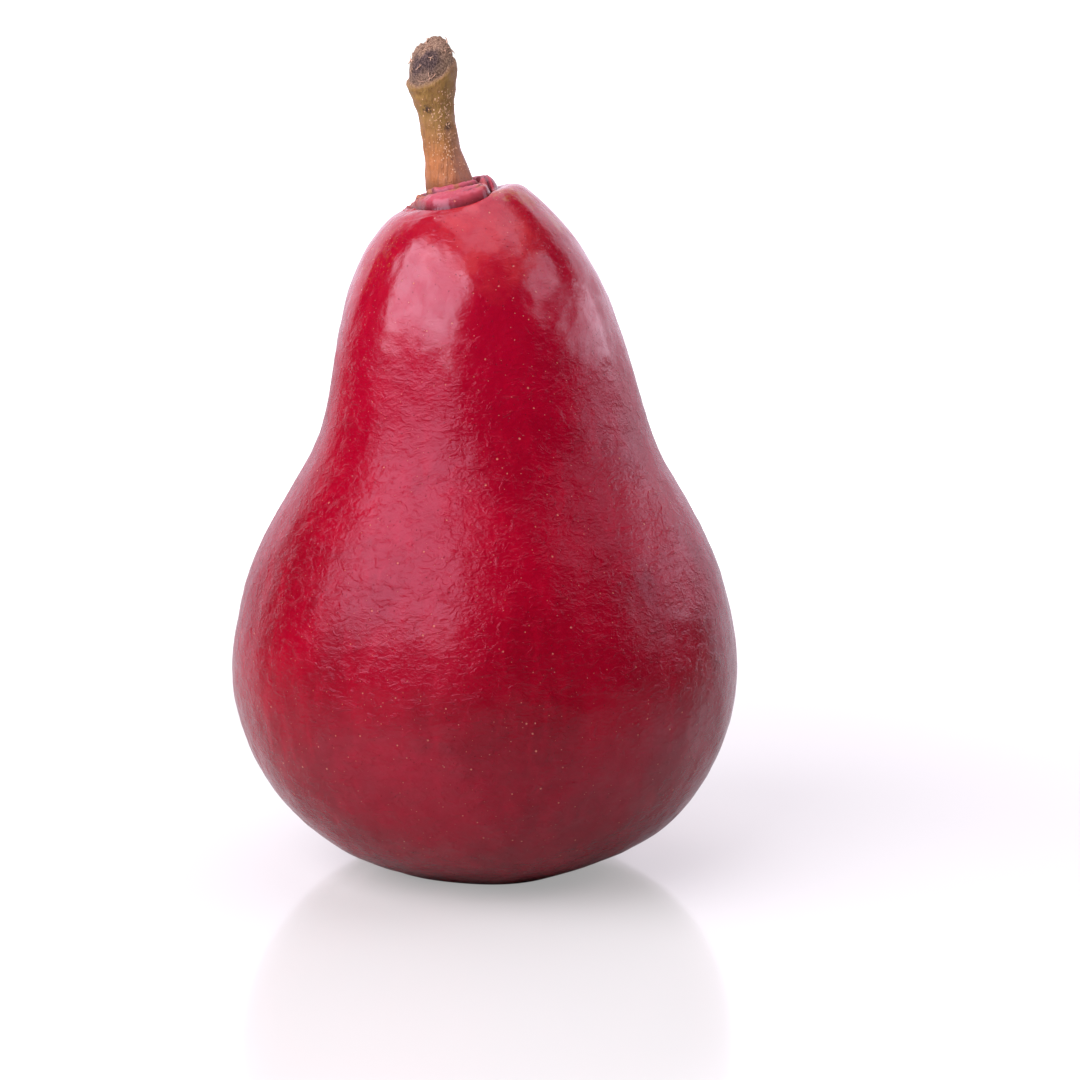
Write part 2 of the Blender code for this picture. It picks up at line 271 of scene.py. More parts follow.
def collar_relief(radius, angle):
    """Lift of the fleshy folds round the stem, with masks of painted crease shade, russet, scar and
    flesh.
    """
    x, y = np.cos(angle), np.sin(angle)
    wave = wander(x * 3, y * 3, radius * 0.3, 5.0, 3)
    around = angle_gap(angle, 0.0)
    swell = window(angle, *LOW_SWELL_ARC)
    turn_in = smoothstep(-42, 22, around) * (around < 90)
    path = LOW_ROLL_OUTER + 2.7 * swell - 1.8 * turn_in + 0.12 * wave
    middle, half_width = (LOW_ROLL_INNER + path) / 2, (path - LOW_ROLL_INNER) / 2 + 0.1
    low_roll = window(angle, *LOW_ROLL_ARC) * roll(radius - middle, half_width)
    high_roll = window(angle, *HIGH_ROLL_ARC) * roll(radius - HIGH_ROLL_RADIUS - 0.1 * wave, 0.8)
    lobe_radius = LOBE_RADIUS + 0.2 * np.cos(np.radians(around - 20))
    lobe = window(angle, *LOBE_ARC) * roll(radius - lobe_radius, 1.4)
    back_roll = window(angle, *BACK_ROLL_ARC) * roll(radius - BACK_ROLL_RADIUS - 0.2 * wave, 1.35)
    left_fold = window(angle, *LEFT_FOLD_ARC) * np.clip(1 - (radius - 3.1) / 4.4, 0, 1) ** 1.1
    low_roll_height = 1.3 + 0.25 * swell
    lift = np.maximum.reduce(
        [low_roll_height * low_roll, 2.2 * high_roll, 2.1 * lobe, 1.5 * back_roll, 1.7 * left_fold]
    )

    under = window(angle, *UNDER_ARC) * crease(radius - path, 0.22)
    between = window(angle, *BETWEEN_ARC) * crease(radius - 4.25 - 0.1 * wave, 0.2)
    curl = window(angle, *CURL_ARC) * crease(radius - path + 1.25, 0.16)
    notch = window(angle, *NOTCH_ARC) * crease(radius - lobe_radius - 1.35, 0.4)
    inner = window(angle, *INNER_ARC) * crease(radius - 3.75, 0.3)
    cleft = window(angle, *CLEFT_ARC) * crease(radius - 4.1, 1.5) * (0.7 + 0.3 * wave)
    lift = lift - 1.0 * under - 0.4 * between - 0.3 * curl - 0.45 * notch - 0.5 * inner - 0.9 * cleft
    fade = 1 - smoothstep(8.8, 10.4, radius)
    rough = wander(x * radius, y * radius, radius, 0.9, 8)
    scar = window(angle, *SCAR_ARC) * crease(radius - 4.6, 1.9)
    lift = lift + fade * ((0.05 + 0.1 * scar) * rough * (lift > 0.05))
    stripes = lobe * smoothstep(0.55, 0.95, np.cos(np.radians(around) * 14 + radius))
    painted_shade_at_foot = window(angle, *FOOT_ARC) * crease(radius - 3.05, 0.3)
    brown = wander(x * 4, y * 4, radius, 2.4, 31)
    # Painted shade: dark creases between the folds and round the stem's foot, with faint dark stripes on
    # the lobe.
    dark = 0.9 * under + 1.2 * between + 0.8 * curl + 0.6 * notch + 0.8 * inner + 0.3 * stripes + painted_shade_at_foot
    masks = {
        "crease": np.clip(dark, 0, 1),
        "russet": np.clip((high_roll + 0.7 * low_roll) * smoothstep(0.25, 1.0, brown), 0, 1),
        "scar": scar,
        "flesh": np.clip(low_roll + high_roll + lobe + back_roll, 0, 1),
    }
    return lift, masks


def fruit_outline():
    """Radius and height of each ring, from the calyx tube round the outside to the stem's foot."""
    tube_end = BASIN_DEPTH + TUBE_DEPTH
    tube_top = (TUBE_RADIUS, BASIN_DEPTH + 1.6)
    mouth = (TUBE_MOUTH, BASIN_DEPTH)
    tube = smooth_curve([(0.3, tube_end), (TUBE_RADIUS * 0.75, tube_end - 0.5), tube_top], 8)
    lip = smooth_curve([tube_top, (TUBE_RADIUS + 0.1, BASIN_DEPTH + 0.35), mouth], 5)
    floor = (BASIN_FLOOR, BASIN_DEPTH - 0.1)
    wall = ((REST_INNER + BASIN_FLOOR) / 2, 0.55 * BASIN_DEPTH)
    basin = smooth_curve([mouth, floor, wall, (REST_INNER, 0.0)], 22)
    outside = [REST_OUTER, HEEL, HAUNCH, BELLY, FLANK, WAIST, NECK, CROWN, SHOULDER, SHOULDER_TOP]
    body = smooth_curve(outside, 150)
    near = body[body[:, 0] < CROWN_REACH]
    start = near[np.argmax(near[:, 1] > CROWN_FROM)]
    body = body[body[:, 1] < start[1]]
    top = smooth_curve([start, SHOULDER, SHOULDER_RIM, SHOULDER_TOP, COLLAR_FLOOR, STEM_SOCKET], 62)
    return np.vstack([tube, lip[1:], basin[1:], body, top])


def make_fruit():
    """Skin of the whole fruit, with its collar, its calyx basin and its masks."""
    outline = fruit_outline()
    angle = np.linspace(0, 2 * math.pi, FRUIT_AROUND, endpoint=False)[None, :]
    radius, height, angle = np.broadcast_arrays(outline[:, :1], outline[:, 1:], angle)
    in_crown = (height > CROWN_FROM) & (radius < CROWN_REACH)
    lift, masks = collar_relief(radius, angle)
    lift = np.where(in_crown, lift, 0.0)
    bump_side = window(angle, *SHOULDER_BUMP_ARC)
    lift = lift + 0.9 * bump_side * crease(radius - 9.6, 2.0) * (height > 85)
    outer = (radius > 10) & (height > 40)
    ridge = 0.4 * outer * crease(angle_gap(angle, -114.0), 24.0) * crease(height - 84.0, 9.0)
    points = grown(radius + ridge, angle, height, lift)
    basin_share = smoothstep(3.0, 6.0, radius) * (1 - smoothstep(10.5, 12.0, radius)) * (height < 8)
    folds = 0.35 * np.cos(5 * angle + 0.6) + 0.22 * np.cos(10 * angle + 0.3 * radius)
    points[..., 2] += basin_share * folds * 0.8
    fruit = loft_object("pear_fruit", points)
    for name, values in masks.items():
        paint(fruit, name, np.where(in_crown, values, 0.0))
    on_ring = (radius > REST_INNER - 1.0) & (radius < REST_OUTER[0] + 1.0) & (height < 1.0)
    paint(fruit, "relief", np.where(on_ring, 0.0, 1.0))
    return fruit


def stem_path(s):
    """Centre of the stem at a distance from the collar in millimetres, and the turn of its section."""
    share = min(1.0, max(0.0, s / STEM_LENGTH))
    lean = CROWN_LEAN + (STEM_TIP_LEAN - CROWN_LEAN) * share
    mean_lean = (CROWN_LEAN + lean) / 2
    forward = STEM_FORWARD_LEAN * share
    along = Vector((-math.sin(mean_lean), -math.sin(forward / 2), math.cos(mean_lean)))
    turn = Matrix.Rotation(-lean, 3, "Y") @ Matrix.Rotation(forward, 3, "X")
    return Vector((-CROWN_SHIFT, 0.0, COLLAR_HEIGHT)) + along * s, turn


def stem_radius(s):
    marks = [-STEM_SEAT, 0.0, STEM_BASE_LENGTH, STEM_LENGTH - STEM_FLARE_LENGTH, STEM_LENGTH]
    radii = [STEM_FOOT_RADIUS, STEM_BASE_RADIUS, STEM_SHANK_RADIUS, STEM_SHANK_RADIUS, STEM_TIP_RADIUS]
    i = next((k for k in range(1, len(marks)) if s <= marks[k]), len(marks) - 1)
    share = min(1.0, max(0.0, (s - marks[i - 1]) / (marks[i] - marks[i - 1])))
    return radii[i - 1] + (radii[i] - radii[i - 1]) * share * share * (3 - 2 * share)


def stem_sections():
    """Each ring's distance along the stem, radius, slant, lift over the end, and share of broken end."""
    bark_end = STEM_LENGTH - 0.5
    sections = []
    for s in np.linspace(-STEM_SEAT, bark_end, 150):
        slant = max(0.0, 1 - (bark_end - s) / STEM_FLARE_LENGTH) ** 2
        sections.append((s, stem_radius(s), slant, 0.0, 0.0))
    sections.append((STEM_LENGTH - 0.25, STEM_TIP_RADIUS - 0.05, 1.0, 0.0, 0.3))
    sections.append((STEM_LENGTH - 0.05, STEM_TIP_RADIUS - 0.25, 1.0, 0.0, 0.7))
    for turn in np.linspace(0.02, 1.55, 36):
        radius = math.cos(turn) ** 0.66 * (STEM_TIP_RADIUS - 0.42)
        sections.append((STEM_LENGTH, radius, 1.0, STEM_END_DOME * math.sin(turn), 1.0))
    return sections


def make_stem():
    """The woody stem: ribbed bark, a flared end, and the rough slanted face where it came away."""
    angle = np.linspace(0, 2 * math.pi, STEM_AROUND, endpoint=False)
    cos, sin = np.cos(angle), np.sin(angle)
    wart_side = 0.12 + 0.88 * window(angle, *WART_ARC)
    burnt_side = window(angle, *BURNT_ARC)
    rings = []
    masks = {"broken": [], "warts": [], "burnt": []}
    for s, radius, slant, lift, end in stem_sections():
        centre, turn = stem_path(s)
        rib = wander(3 * cos, 3 * sin, 0.08 * s, 2.6, 21)
        knob = wander(radius * cos, radius * sin, s, 2.2, 22)
        oval = np.cos(2 * angle + 0.7)
        bark = radius * (1 + 0.035 * oval) + 0.09 * rib + 0.06 * knob
        face = radius * (1 + 0.03 * oval)
        out = bark * (1 - end) + face * end
        x, y = out * cos, out * sin
        torn = wander(x, y, 0, 1.7, 23) * 0.17 + wander(x, y, 0, 0.55, 24) * 0.08
        rise = lift - slant * math.tan(STEM_END_SLANT) * radius * np.cos(angle - STEM_END_TURN)
        rise = rise + end * torn
        local = np.stack([x, y, rise], axis=1)
        rings.append(local @ np.array(turn).T + np.array(centre))
        masks["broken"].append(np.full(STEM_AROUND, end))
        band = smoothstep(1.0, 7.0, s) * (1 - smoothstep(STEM_LENGTH - 3.5, STEM_LENGTH - 1.5, s))
        masks["warts"].append(wart_side * band)
        out_share = radius / STEM_TIP_RADIUS + 0.05 * knob
        charred = smoothstep(0.42, 0.62, out_share) * (1 - 0.75 * smoothstep(0.8, 0.9, out_share))
        masks["burnt"].append(burnt_side * charred)
    stem = loft_object("pear_stem", rings)
    for name, values in masks.items():
        paint(stem, name, values)
    return stem


# ------------ node helpers


def fill(tree, node, inputs):
    """Fills a node's inputs: a socket is linked, and any other value is set."""
    for key, value in inputs.items():
        if isinstance(value, bpy.types.NodeSocket):
            tree.links.new(value, node.inputs[key])
        else:
            node.inputs[key].default_value = value


def add(tree, kind, inputs=None, **settings):
    """Adds a node with its settings and its inputs."""
    node = tree.nodes.new(kind)
    for name, value in settings.items():
        setattr(node, name, value)
    fill(tree, node, inputs or {})
    return node


def maths(tree, operation, *values):
    return add(tree, "ShaderNodeMath", dict(enumerate(values)), operation=operation).outputs[0]


def times(tree, *values):
    return maths(tree, "MULTIPLY", *values)


def plus(tree, *values):
    return maths(tree, "ADD", *values)


def minus(tree, *values):
    return maths(tree, "SUBTRACT", *values)


def vector(tree, operation, *values):
    return add(tree, "ShaderNodeVectorMath", dict(enumerate(values)), operation=operation).outputs[0]


def stretched(tree, place, x, y, z):
    return vector(tree, "MULTIPLY", place, (x, y, z))


def scaled(tree, place, share):
    return add(tree, "ShaderNodeVectorMath", {0: place, "Scale": share}, operation="SCALE").outputs[0]


def length(tree, place):
    return add(tree, "ShaderNodeVectorMath", {0: place}, operation="LENGTH").outputs["Value"]


def split(tree, place):
    """The X, Y and Z of a place, as the outputs of one node."""
    return add(tree, "ShaderNodeSeparateXYZ", {0: place}).outputs


def ranged(tree, value, low, high, to_low=0.0, to_high=1.0):
    """The value mapped smoothly from one range to another, and held at its ends."""
    inputs = {"Value": value, "From Min": low, "From Max": high, "To Min": to_low, "To Max": to_high}
    return add(tree, "ShaderNodeMapRange", inputs, interpolation_type="SMOOTHSTEP").outputs[0]


def noise(tree, place, scale, detail=3.0, roughness=0.5, distortion=0.0):
    inputs = {"Vector": place, "Scale": scale, "Detail": detail}
    inputs |= {"Roughness": roughness, "Distortion": distortion}
    return add(tree, "ShaderNodeTexNoise", inputs).outputs["Fac"]


def shade(*colour):
    return (*colour, 1.0)


def tint(tree, share, under, over):
    """Colour over laid on colour under, by share."""
    inputs = {0: share, 6: under, 7: over}
    return add(tree, "ShaderNodeMix", inputs, data_type="RGBA").outputs[2]


def layer(tree, colour, mask, strength, over):
    """Another colour laid over the first where the mask is, at a strength."""
    return tint(tree, times(tree, mask, strength), colour, over)


def effect(name, kind, inputs, outputs):
    """An empty node group with named sockets: returns it, its input node and its output node."""
    tree = bpy.data.node_groups.new(name, kind)
    for label, socket_type, value in inputs:
        socket = tree.interface.new_socket(label, in_out="INPUT", socket_type=socket_type)
        if value is not None:
            socket.default_value = value
    for label, socket_type in outputs:
        tree.interface.new_socket(label, in_out="OUTPUT", socket_type=socket_type)
    return tree, add(tree, "NodeGroupInput"), add(tree, "NodeGroupOutput")


def surface_effect(name, numbers, output):
    """A shader group that takes a place in millimetres and named numbers, and gives one value."""
    sockets = [("Place", "NodeSocketVector", None)]
    sockets += [(label, "NodeSocketFloat", value) for label, value in numbers.items()]
    return effect(name, "ShaderNodeTree", sockets, [(output, "NodeSocketFloat")])


# ------------ surface effects


def make_specks():
    """Round specks strewn over a surface: one in each cell of a share of the cells."""
    numbers = {"Per Millimetre": 0.5, "Size": 0.1, "Share": 0.5}
    tree, given, made = surface_effect("specks", numbers, "Mask")
    inputs = {"Vector": given.outputs["Place"], "Scale": given.outputs["Per Millimetre"]}
    cells = add(tree, "ShaderNodeTexVoronoi", inputs)
    chance = add(tree, "ShaderNodeSeparateColor", {"Color": cells.outputs["Color"]})
    there = maths(tree, "LESS_THAN", chance.outputs[0], given.outputs["Share"])
    spread = ranged(tree, chance.outputs[1], 0.0, 1.0, 0.45, 1.25)
    edge = times(tree, given.outputs["Size"], spread)
    inside = ranged(tree, cells.outputs["Distance"], times(tree, edge, 0.55), edge, 1.0, 0.0)
    fill(tree, made, {"Mask": times(tree, inside, there)})
    return tree


def make_mottle():
    """Soft uneven blotches, as of ripening or weather."""
    numbers = {"Per Millimetre": 0.1, "Low": 0.4, "High": 0.65}
    tree, given, made = surface_effect("mottle", numbers, "Mask")
    field = noise(tree, given.outputs["Place"], given.outputs["Per Millimetre"], 6.0, 0.58, 0.4)
    fill(tree, made, {"Mask": ranged(tree, field, given.outputs["Low"], given.outputs["High"])})
    return tree


def make_patch():
    """One patch round a middle point in millimetres, with a ragged edge."""
    sockets = [
        ("Place", "NodeSocketVector", None),
        ("Middle", "NodeSocketVector", None),
        ("Reach", "NodeSocketFloat", 5.0),
        ("Ragged", "NodeSocketFloat", 3.0),
        ("Per Millimetre", "NodeSocketFloat", 0.3),
    ]
    tree, given, made = effect("patch", "ShaderNodeTree", sockets, [("Mask", "NodeSocketFloat")])
    inputs = {0: given.outputs["Place"], 1: given.outputs["Middle"]}
    far = add(tree, "ShaderNodeVectorMath", inputs, operation="DISTANCE").outputs["Value"]
    field = noise(tree, given.outputs["Place"], given.outputs["Per Millimetre"], 5.0, 0.6)
    waver = times(tree, minus(tree, field, 0.5), given.outputs["Ragged"])
    far = plus(tree, far, times(tree, waver, 2.0))
    inner = times(tree, given.outputs["Reach"], 0.35)
    fill(tree, made, {"Mask": ranged(tree, far, inner, given.outputs["Reach"], 1.0, 0.0)})
    return tree


def make_wrinkles():
    """Fine wrinkles as a height: sharp folds where Ridged is 1, and soft rises where it is 0."""
    numbers = {"Per Millimetre": 1.0, "Fineness": 3.0, "Ridged": 1.0}
    tree, given, made = surface_effect("wrinkles", numbers, "Height")
    broad = noise(tree, given.outputs["Place"], given.outputs["Per Millimetre"], 4.0, 0.55, 0.8)
    finer = times(tree, given.outputs["Per Millimetre"], given.outputs["Fineness"])
    fine = noise(tree, given.outputs["Place"], finer, 3.0, 0.6, 0.3)
    folded = times(tree, maths(tree, "ABSOLUTE", minus(tree, broad, 0.5)), 2.0)
    soft = times(tree, broad, minus(tree, 1.0, given.outputs["Ridged"]))
    folded = plus(tree, times(tree, folded, given.outputs["Ridged"]), soft)
    fill(tree, made, {"Height": plus(tree, folded, times(tree, fine, 0.35))})
    return tree


SPECKS = make_specks()
MOTTLE = make_mottle()
PATCH = make_patch()
WRINKLES = make_wrinkles()


def use(tree, group, inputs):
    """Places a node group in a material and returns its output."""
    return add(tree, "ShaderNodeGroup", inputs, node_tree=group).outputs[0]


def specked(tree, place, per_millimetre, size, share):
    inputs = {"Place": place, "Per Millimetre": per_millimetre, "Size": size, "Share": share}
    return use(tree, SPECKS, inputs)


def mottled(tree, place, per_millimetre, low, high):
    inputs = {"Place": place, "Per Millimetre": per_millimetre, "Low": low, "High": high}
    return use(tree, MOTTLE, inputs)


def patched(tree, place, middle, reach, ragged, per_millimetre=0.3):
    inputs = {"Place": place, "Middle": middle, "Reach": reach}
    inputs |= {"Ragged": ragged, "Per Millimetre": per_millimetre}
    return use(tree, PATCH, inputs)


def wrinkled(tree, place, per_millimetre, fineness, ridged=1.0):
    inputs = {"Place": place, "Per Millimetre": per_millimetre, "Fineness": fineness, "Ridged": ridged}
    return use(tree, WRINKLES, inputs)


# ------------ finishes


def new_finish(name):
    """A material with its shader, and the place on the object in millimetres."""
    finish = bpy.data.materials.new(name)
    finish.use_nodes = True
    tree = finish.node_tree
    where = add(tree, "ShaderNodeTexCoord").outputs["Object"]
    return finish, tree, tree.nodes["Principled BSDF"], scaled(tree, where, 1 / MM)


def attribute(tree, name):
    return add(tree, "ShaderNodeAttribute", attribute_name=name).outputs["Fac"]


def bump(tree, height, strength, distance):
    inputs = {"Height": height, "Strength": strength, "Distance": distance}
    return add(tree, "ShaderNodeBump", inputs).outputs["Normal"]


def ground_colour(tree, place, height, grains):
    """Blotched crimson with long streaks and a fine grain, and painted light that brightens it up the
    neck.
    """
    blotches = mottled(tree, place, 0.055, 0.38, 0.66)
    colour = tint(tree, blotches, shade(0.325, 0.001, 0.015), shade(0.235, 0.0007, 0.01))
    # Painted light: the skin made brighter up the neck, as though more lit there.
    painted_light_up_the_neck = ranged(tree, height, 46.0, 76.0)
    colour = layer(tree, colour, painted_light_up_the_neck, 0.38, shade(0.46, 0.0015, 0.026))
    streaks = mottled(tree, stretched(tree, place, 1.0, 1.0, 0.16), 0.42, 0.48, 0.75)
    colour = layer(tree, colour, streaks, 0.4, shade(0.44, 0.003, 0.022))
    return layer(tree, colour, grains, 0.2, shade(0.45, 0.012, 0.038))


def shoulder_colour(tree, place, colour, freckled):
    """The warm flush under the collar, the freckled side's faint olive, and three tan spots."""
    uneven = plus(tree, 0.3, times(tree, mottled(tree, place, 0.24, 0.34, 0.62), 0.7))
    warm = times(tree, patched(tree, place, (0.5, -13.0, 92.0), 12.0, 5.0), 0.95)
    colour = tint(tree, times(tree, warm, uneven), colour, shade(0.47, 0.03, 0.036))
    colour = layer(tree, colour, freckled, 0.45, shade(0.38, 0.1, 0.035))
    for middle, reach in TAN_SPOTS:
        spot = patched(tree, place, middle, reach, 3.4, 1.1)
        colour = layer(tree, colour, spot, 0.55, shade(0.42, 0.15, 0.06))
    return colour


def collar_colour(tree, place, colour):
    """Paler flesh on the folds, with russet, torn scar tissue and painted shade in the creases."""
    colour = layer(tree, colour, attribute(tree, "flesh"), 0.8, shade(0.54, 0.135, 0.17))
    colour = layer(tree, colour, attribute(tree, "russet"), 0.85, shade(0.4, 0.17, 0.06))
    torn = mottled(tree, place, 1.3, 0.42, 0.55)
    torn = tint(tree, torn, shade(0.07, 0.024, 0.014), shade(0.4, 0.19, 0.09))
    colour = layer(tree, colour, attribute(tree, "scar"), 0.85, torn)
    # Painted shade: the creases darkened nearly to black.
    return layer(tree, colour, attribute(tree, "crease"), 0.96, shade(0.03, 0.003, 0.005))


def skin_gloss(tree, place, at, dull, pores):
    """Strength of the wax: high on the neck, low on the belly, cloudy, and lost in the pores."""
    neck = times(tree, ranged(tree, at, 69.5, 77.0), 0.75)
    belly = times(tree, ranged(tree, at, 30.0, 44.0, 1.0, 0.0), 0.3)
    gloss = maths(tree, "MAXIMUM", neck, belly)
    cloudy = mottled(tree, place, 0.38, 0.36, 0.64)
    gloss = times(tree, gloss, plus(tree, 0.52, times(tree, cloudy, 0.48)))
    gloss = times(tree, gloss, minus(tree, 1.0, dull))
    return times(tree, gloss, minus(tree, 1.0, times(tree, pores, 0.7)))


def make_skin():
    """Crimson pear skin: blotched and specked, glossy at the neck, russet at the stem and calyx."""
    finish, tree, shader, place = new_finish("crimson pear skin")
    height = split(tree, place)["Z"]
    grains = mottled(tree, place, 1.1, 0.45, 0.8)
    rusty = mottled(tree, place, 1.6, 0.48, 0.66)
    olive = times(tree, patched(tree, place, (-15.5, -4.0, 89.0), 10.0, 6.0), 0.8)
    out = length(tree, stretched(tree, place, 1.0, 1.0, 0.0))
    basin = times(tree, ranged(tree, out, 4.0, 14.0, 1.0, 0.0), ranged(tree, height, 6.0, 14.0, 1.0, 0.0))
    large = specked(tree, place, 0.6, 0.095, 0.8)
    small = times(tree, specked(tree, place, 1.35, 0.12, 0.6), 0.75)
    lenticels = maths(tree, "MAXIMUM", large, small)
    crowded = specked(tree, place, 2.0, 0.2, 0.8)
    pores = specked(tree, vector(tree, "ADD", place, (31.0, 17.0, 5.0)), 1.4, 0.13, 0.65)

    colour = ground_colour(tree, place, height, grains)
    colour = shoulder_colour(tree, place, colour, times(tree, olive, rusty))
    colour = collar_colour(tree, place, colour)
    colour = layer(tree, colour, basin, 0.75, shade(0.17, 0.02, 0.014))
    colour = layer(tree, colour, times(tree, basin, rusty), 0.7, shade(0.36, 0.14, 0.05))
    colour = layer(tree, colour, lenticels, 0.75, shade(0.66, 0.2, 0.13))
    colour = tint(tree, times(tree, crowded, olive), colour, shade(0.6, 0.28, 0.1))
    colour = layer(tree, colour, pores, 0.6, shade(0.1, 0.002, 0.008))

    bloom = mottled(tree, place, 0.12, 0.35, 0.7)
    at = plus(tree, height, times(tree, minus(tree, bloom, 0.5), 6.0))
    at = plus(tree, at, times(tree, minus(tree, grains, 0.5), 3.0))
    dull = maths(tree, "MAXIMUM", basin, times(tree, attribute(tree, "flesh"), 0.8))
    dull = maths(tree, "MAXIMUM", attribute(tree, "scar"), dull)
    rough = plus(tree, 0.12, times(tree, bloom, 0.08))
    rough = plus(tree, rough, times(tree, dull, 0.3))

    wrinkles = wrinkled(tree, stretched(tree, place, 0.85, 0.85, 1.35), 0.62, 3.0, 0.3)
    wrinkles = times(tree, wrinkles, ranged(tree, at, 66.0, 80.0, 1.0, 0.45))
    pits = times(tree, plus(tree, pores, lenticels), -0.3)
    normal = bump(tree, plus(tree, wrinkles, pits), 0.9, 0.26 * MM)
    gloss = skin_gloss(tree, place, at, dull, pores)
    made = {"Base Color": colour, "Roughness": rough, "Coat Weight": gloss, "Normal": normal}
    made |= {"Coat Roughness": 0.17, "IOR": 1.33, "Specular Tint": shade(1.0, 0.8, 1.0)}
    made |= {"Subsurface Weight": 0.08, "Subsurface Radius": (1.0, 0.15, 0.1)}
    made |= {"Subsurface Scale": 1.5 * MM}
    fill(tree, shader, made)
    return finish


def make_bark():
    """Woody stem bark: olive above and orange-brown below, with grain, scars and a dark broken end."""
    finish, tree, shader, place = new_finish("pear stem bark")
    spot = split(tree, place)
    up = spot["Z"]
    along = stretched(tree, place, 1.0, 1.0, 0.14)
    colour = tint(tree, ranged(tree, up, 99.0, 107.0), shade(0.5, 0.2, 0.06), shade(0.34, 0.21, 0.052))
    colour = layer(tree, colour, mottled(tree, along, 2.1, 0.4, 0.68), 0.5, shade(0.17, 0.075, 0.03))
    colour = layer(tree, colour, mottled(tree, place, 0.35, 0.5, 0.68), 0.45, shade(0.46, 0.22, 0.1))
    colour = layer(tree, colour, specked(tree, place, 1.7, 0.2, 0.4), 0.75, shade(0.7, 0.45, 0.24))
    colour = layer(tree, colour, specked(tree, along, 2.4, 0.16, 0.4), 0.6, shade(0.07, 0.03, 0.015))
    for middle, reach in STEM_SCARS:
        scar = patched(tree, place, middle, reach, 0.9, 2.4)
        colour = layer(tree, colour, scar, 0.9, shade(0.04, 0.018, 0.013))
    # Painted sheen: the stem's right side tinted pinkish grey.
    painted_sheen_right_side = ranged(tree, spot["X"], -5.2, -2.8)
    colour = layer(tree, colour, painted_sheen_right_side, 0.5, shade(0.34, 0.19, 0.15))
    # Painted shade: the stem darker at its foot, where it sinks into the collar.
    painted_shade_at_foot = ranged(tree, up, 96.6, 98.4, 1.0, 0.0)
    colour = layer(tree, colour, painted_shade_at_foot, 0.55, shade(0.16, 0.06, 0.03))

    fibre = mottled(tree, place, 4.5, 0.38, 0.64)
    pale_end = tint(tree, fibre, shade(0.15, 0.092, 0.055), shade(0.4, 0.285, 0.175))
    dark_end = tint(tree, fibre, shade(0.03, 0.019, 0.017), shade(0.155, 0.108, 0.088))
    broken = attribute(tree, "broken")
    colour = tint(tree, broken, colour, tint(tree, attribute(tree, "burnt"), pale_end, dark_end))
    rough = plus(tree, 0.42, times(tree, broken, 0.35))
    lumps = times(tree, wrinkled(tree, place, 1.8, 3.0), 0.5)
    height = plus(tree, wrinkled(tree, along, 1.6, 2.5), lumps)
    made = {"Base Color": colour, "Roughness": rough, "IOR": 1.4}
    fill(tree, shader, made | {"Normal": bump(tree, height, 0.8, 0.22 * MM)})
    return finish


def make_plain_tissue(name, blotches, light, dark, roughness, wrinkles, depth):
    """Dry tissue in two blotched colours, with fine wrinkles: for the warts and the torn fibres."""
    finish, tree, shader, place = new_finish(name)
    colour = tint(tree, mottled(tree, place, *blotches), shade(*light), shade(*dark))
    normal = bump(tree, wrinkled(tree, place, wrinkles, 2.0), 0.4, depth * MM)
    fill(tree, shader, {"Base Color": colour, "Roughness": roughness, "Normal": normal})
    return finish


def make_dry(name, fresh, dry, tip_reach):
    """Dry calyx tissue, darker towards the tips."""
    finish, tree, shader, place = new_finish(name)
    colour = tint(tree, mottled(tree, place, 1.4, 0.4, 0.66), shade(*fresh), shade(*dry))
    out = length(tree, stretched(tree, place, 1.0, 1.0, 0.0))
    tips = ranged(tree, out, tip_reach - 1.8, tip_reach)
    colour = layer(tree, colour, tips, 0.85, shade(0.035, 0.014, 0.01))
    normal = bump(tree, wrinkled(tree, place, 2.2, 2.5), 0.8, 0.12 * MM)
    fill(tree, shader, {"Base Color": colour, "Roughness": 0.6, "Normal": normal})
    return finish


SKIN = make_skin()
BARK = make_bark()
WART = make_plain_tissue(
    "pale cork warts", (3.0, 0.4, 0.6), (0.78, 0.55, 0.32), (0.6, 0.36, 0.18), 0.55, 5.0, 0.04
)
TORN_WOOD = make_plain_tissue(
    "torn wood fibres", (1.2, 0.42, 0.6), (0.72, 0.5, 0.33), (0.34, 0.2, 0.12), 0.7, 4.0, 0.03
)
SEPAL = make_dry("dry red sepal", (0.2, 0.018, 0.02), (0.1, 0.02, 0.014), 6.2)
STAMEN = make_dry("dry brown stamen", (0.12, 0.055, 0.03), (0.05, 0.022, 0.014), 9.0)


# ------------ growth by geometry nodes


def grow(name, host, tree, inputs, finish):
    """Runs a geometry node tree on a copy of the host's mesh and returns the result as a plain mesh."""
    carrier = put(name + "_carrier", host)
    modifier = carrier.modifiers.new(name, "NODES")
    modifier.node_group = tree
    by_name = {item.name: item.identifier for item in tree.interface.items_tree if item.in_out == "INPUT"}
    for label, value in inputs.items():
        modifier[by_name[label]] = value
    modifier[by_name["Material"]] = finish
    mesh = evaluated_mesh(carrier)
    bpy.data.objects.remove(carrier)
    mesh.name = name
    return put(name, mesh)


def growth(name, numbers):
    """A geometry tree that takes a mesh, named numbers and a material, and ends realized."""
    sockets = [("Geometry", "NodeSocketGeometry", None)]
    for label, value in numbers.items():
        kind = "NodeSocketInt" if isinstance(value, int) else "NodeSocketFloat"
        sockets.append((label, kind, value))
    sockets.append(("Material", "NodeSocketMaterial", None))
    return effect(name, "GeometryNodeTree", sockets, [("Geometry", "NodeSocketGeometry")])


def finish_growth(tree, given, made, shape):
    real = add(tree, "GeometryNodeRealizeInstances", {"Geometry": shape}).outputs[0]
    real = add(tree, "GeometryNodeSetShadeSmooth", {"Geometry": real}).outputs[0]
    inputs = {"Geometry": real, "Material": given.outputs["Material"]}
    done = add(tree, "GeometryNodeSetMaterial", inputs).outputs[0]
    fill(tree, made, {"Geometry": done})
    return tree


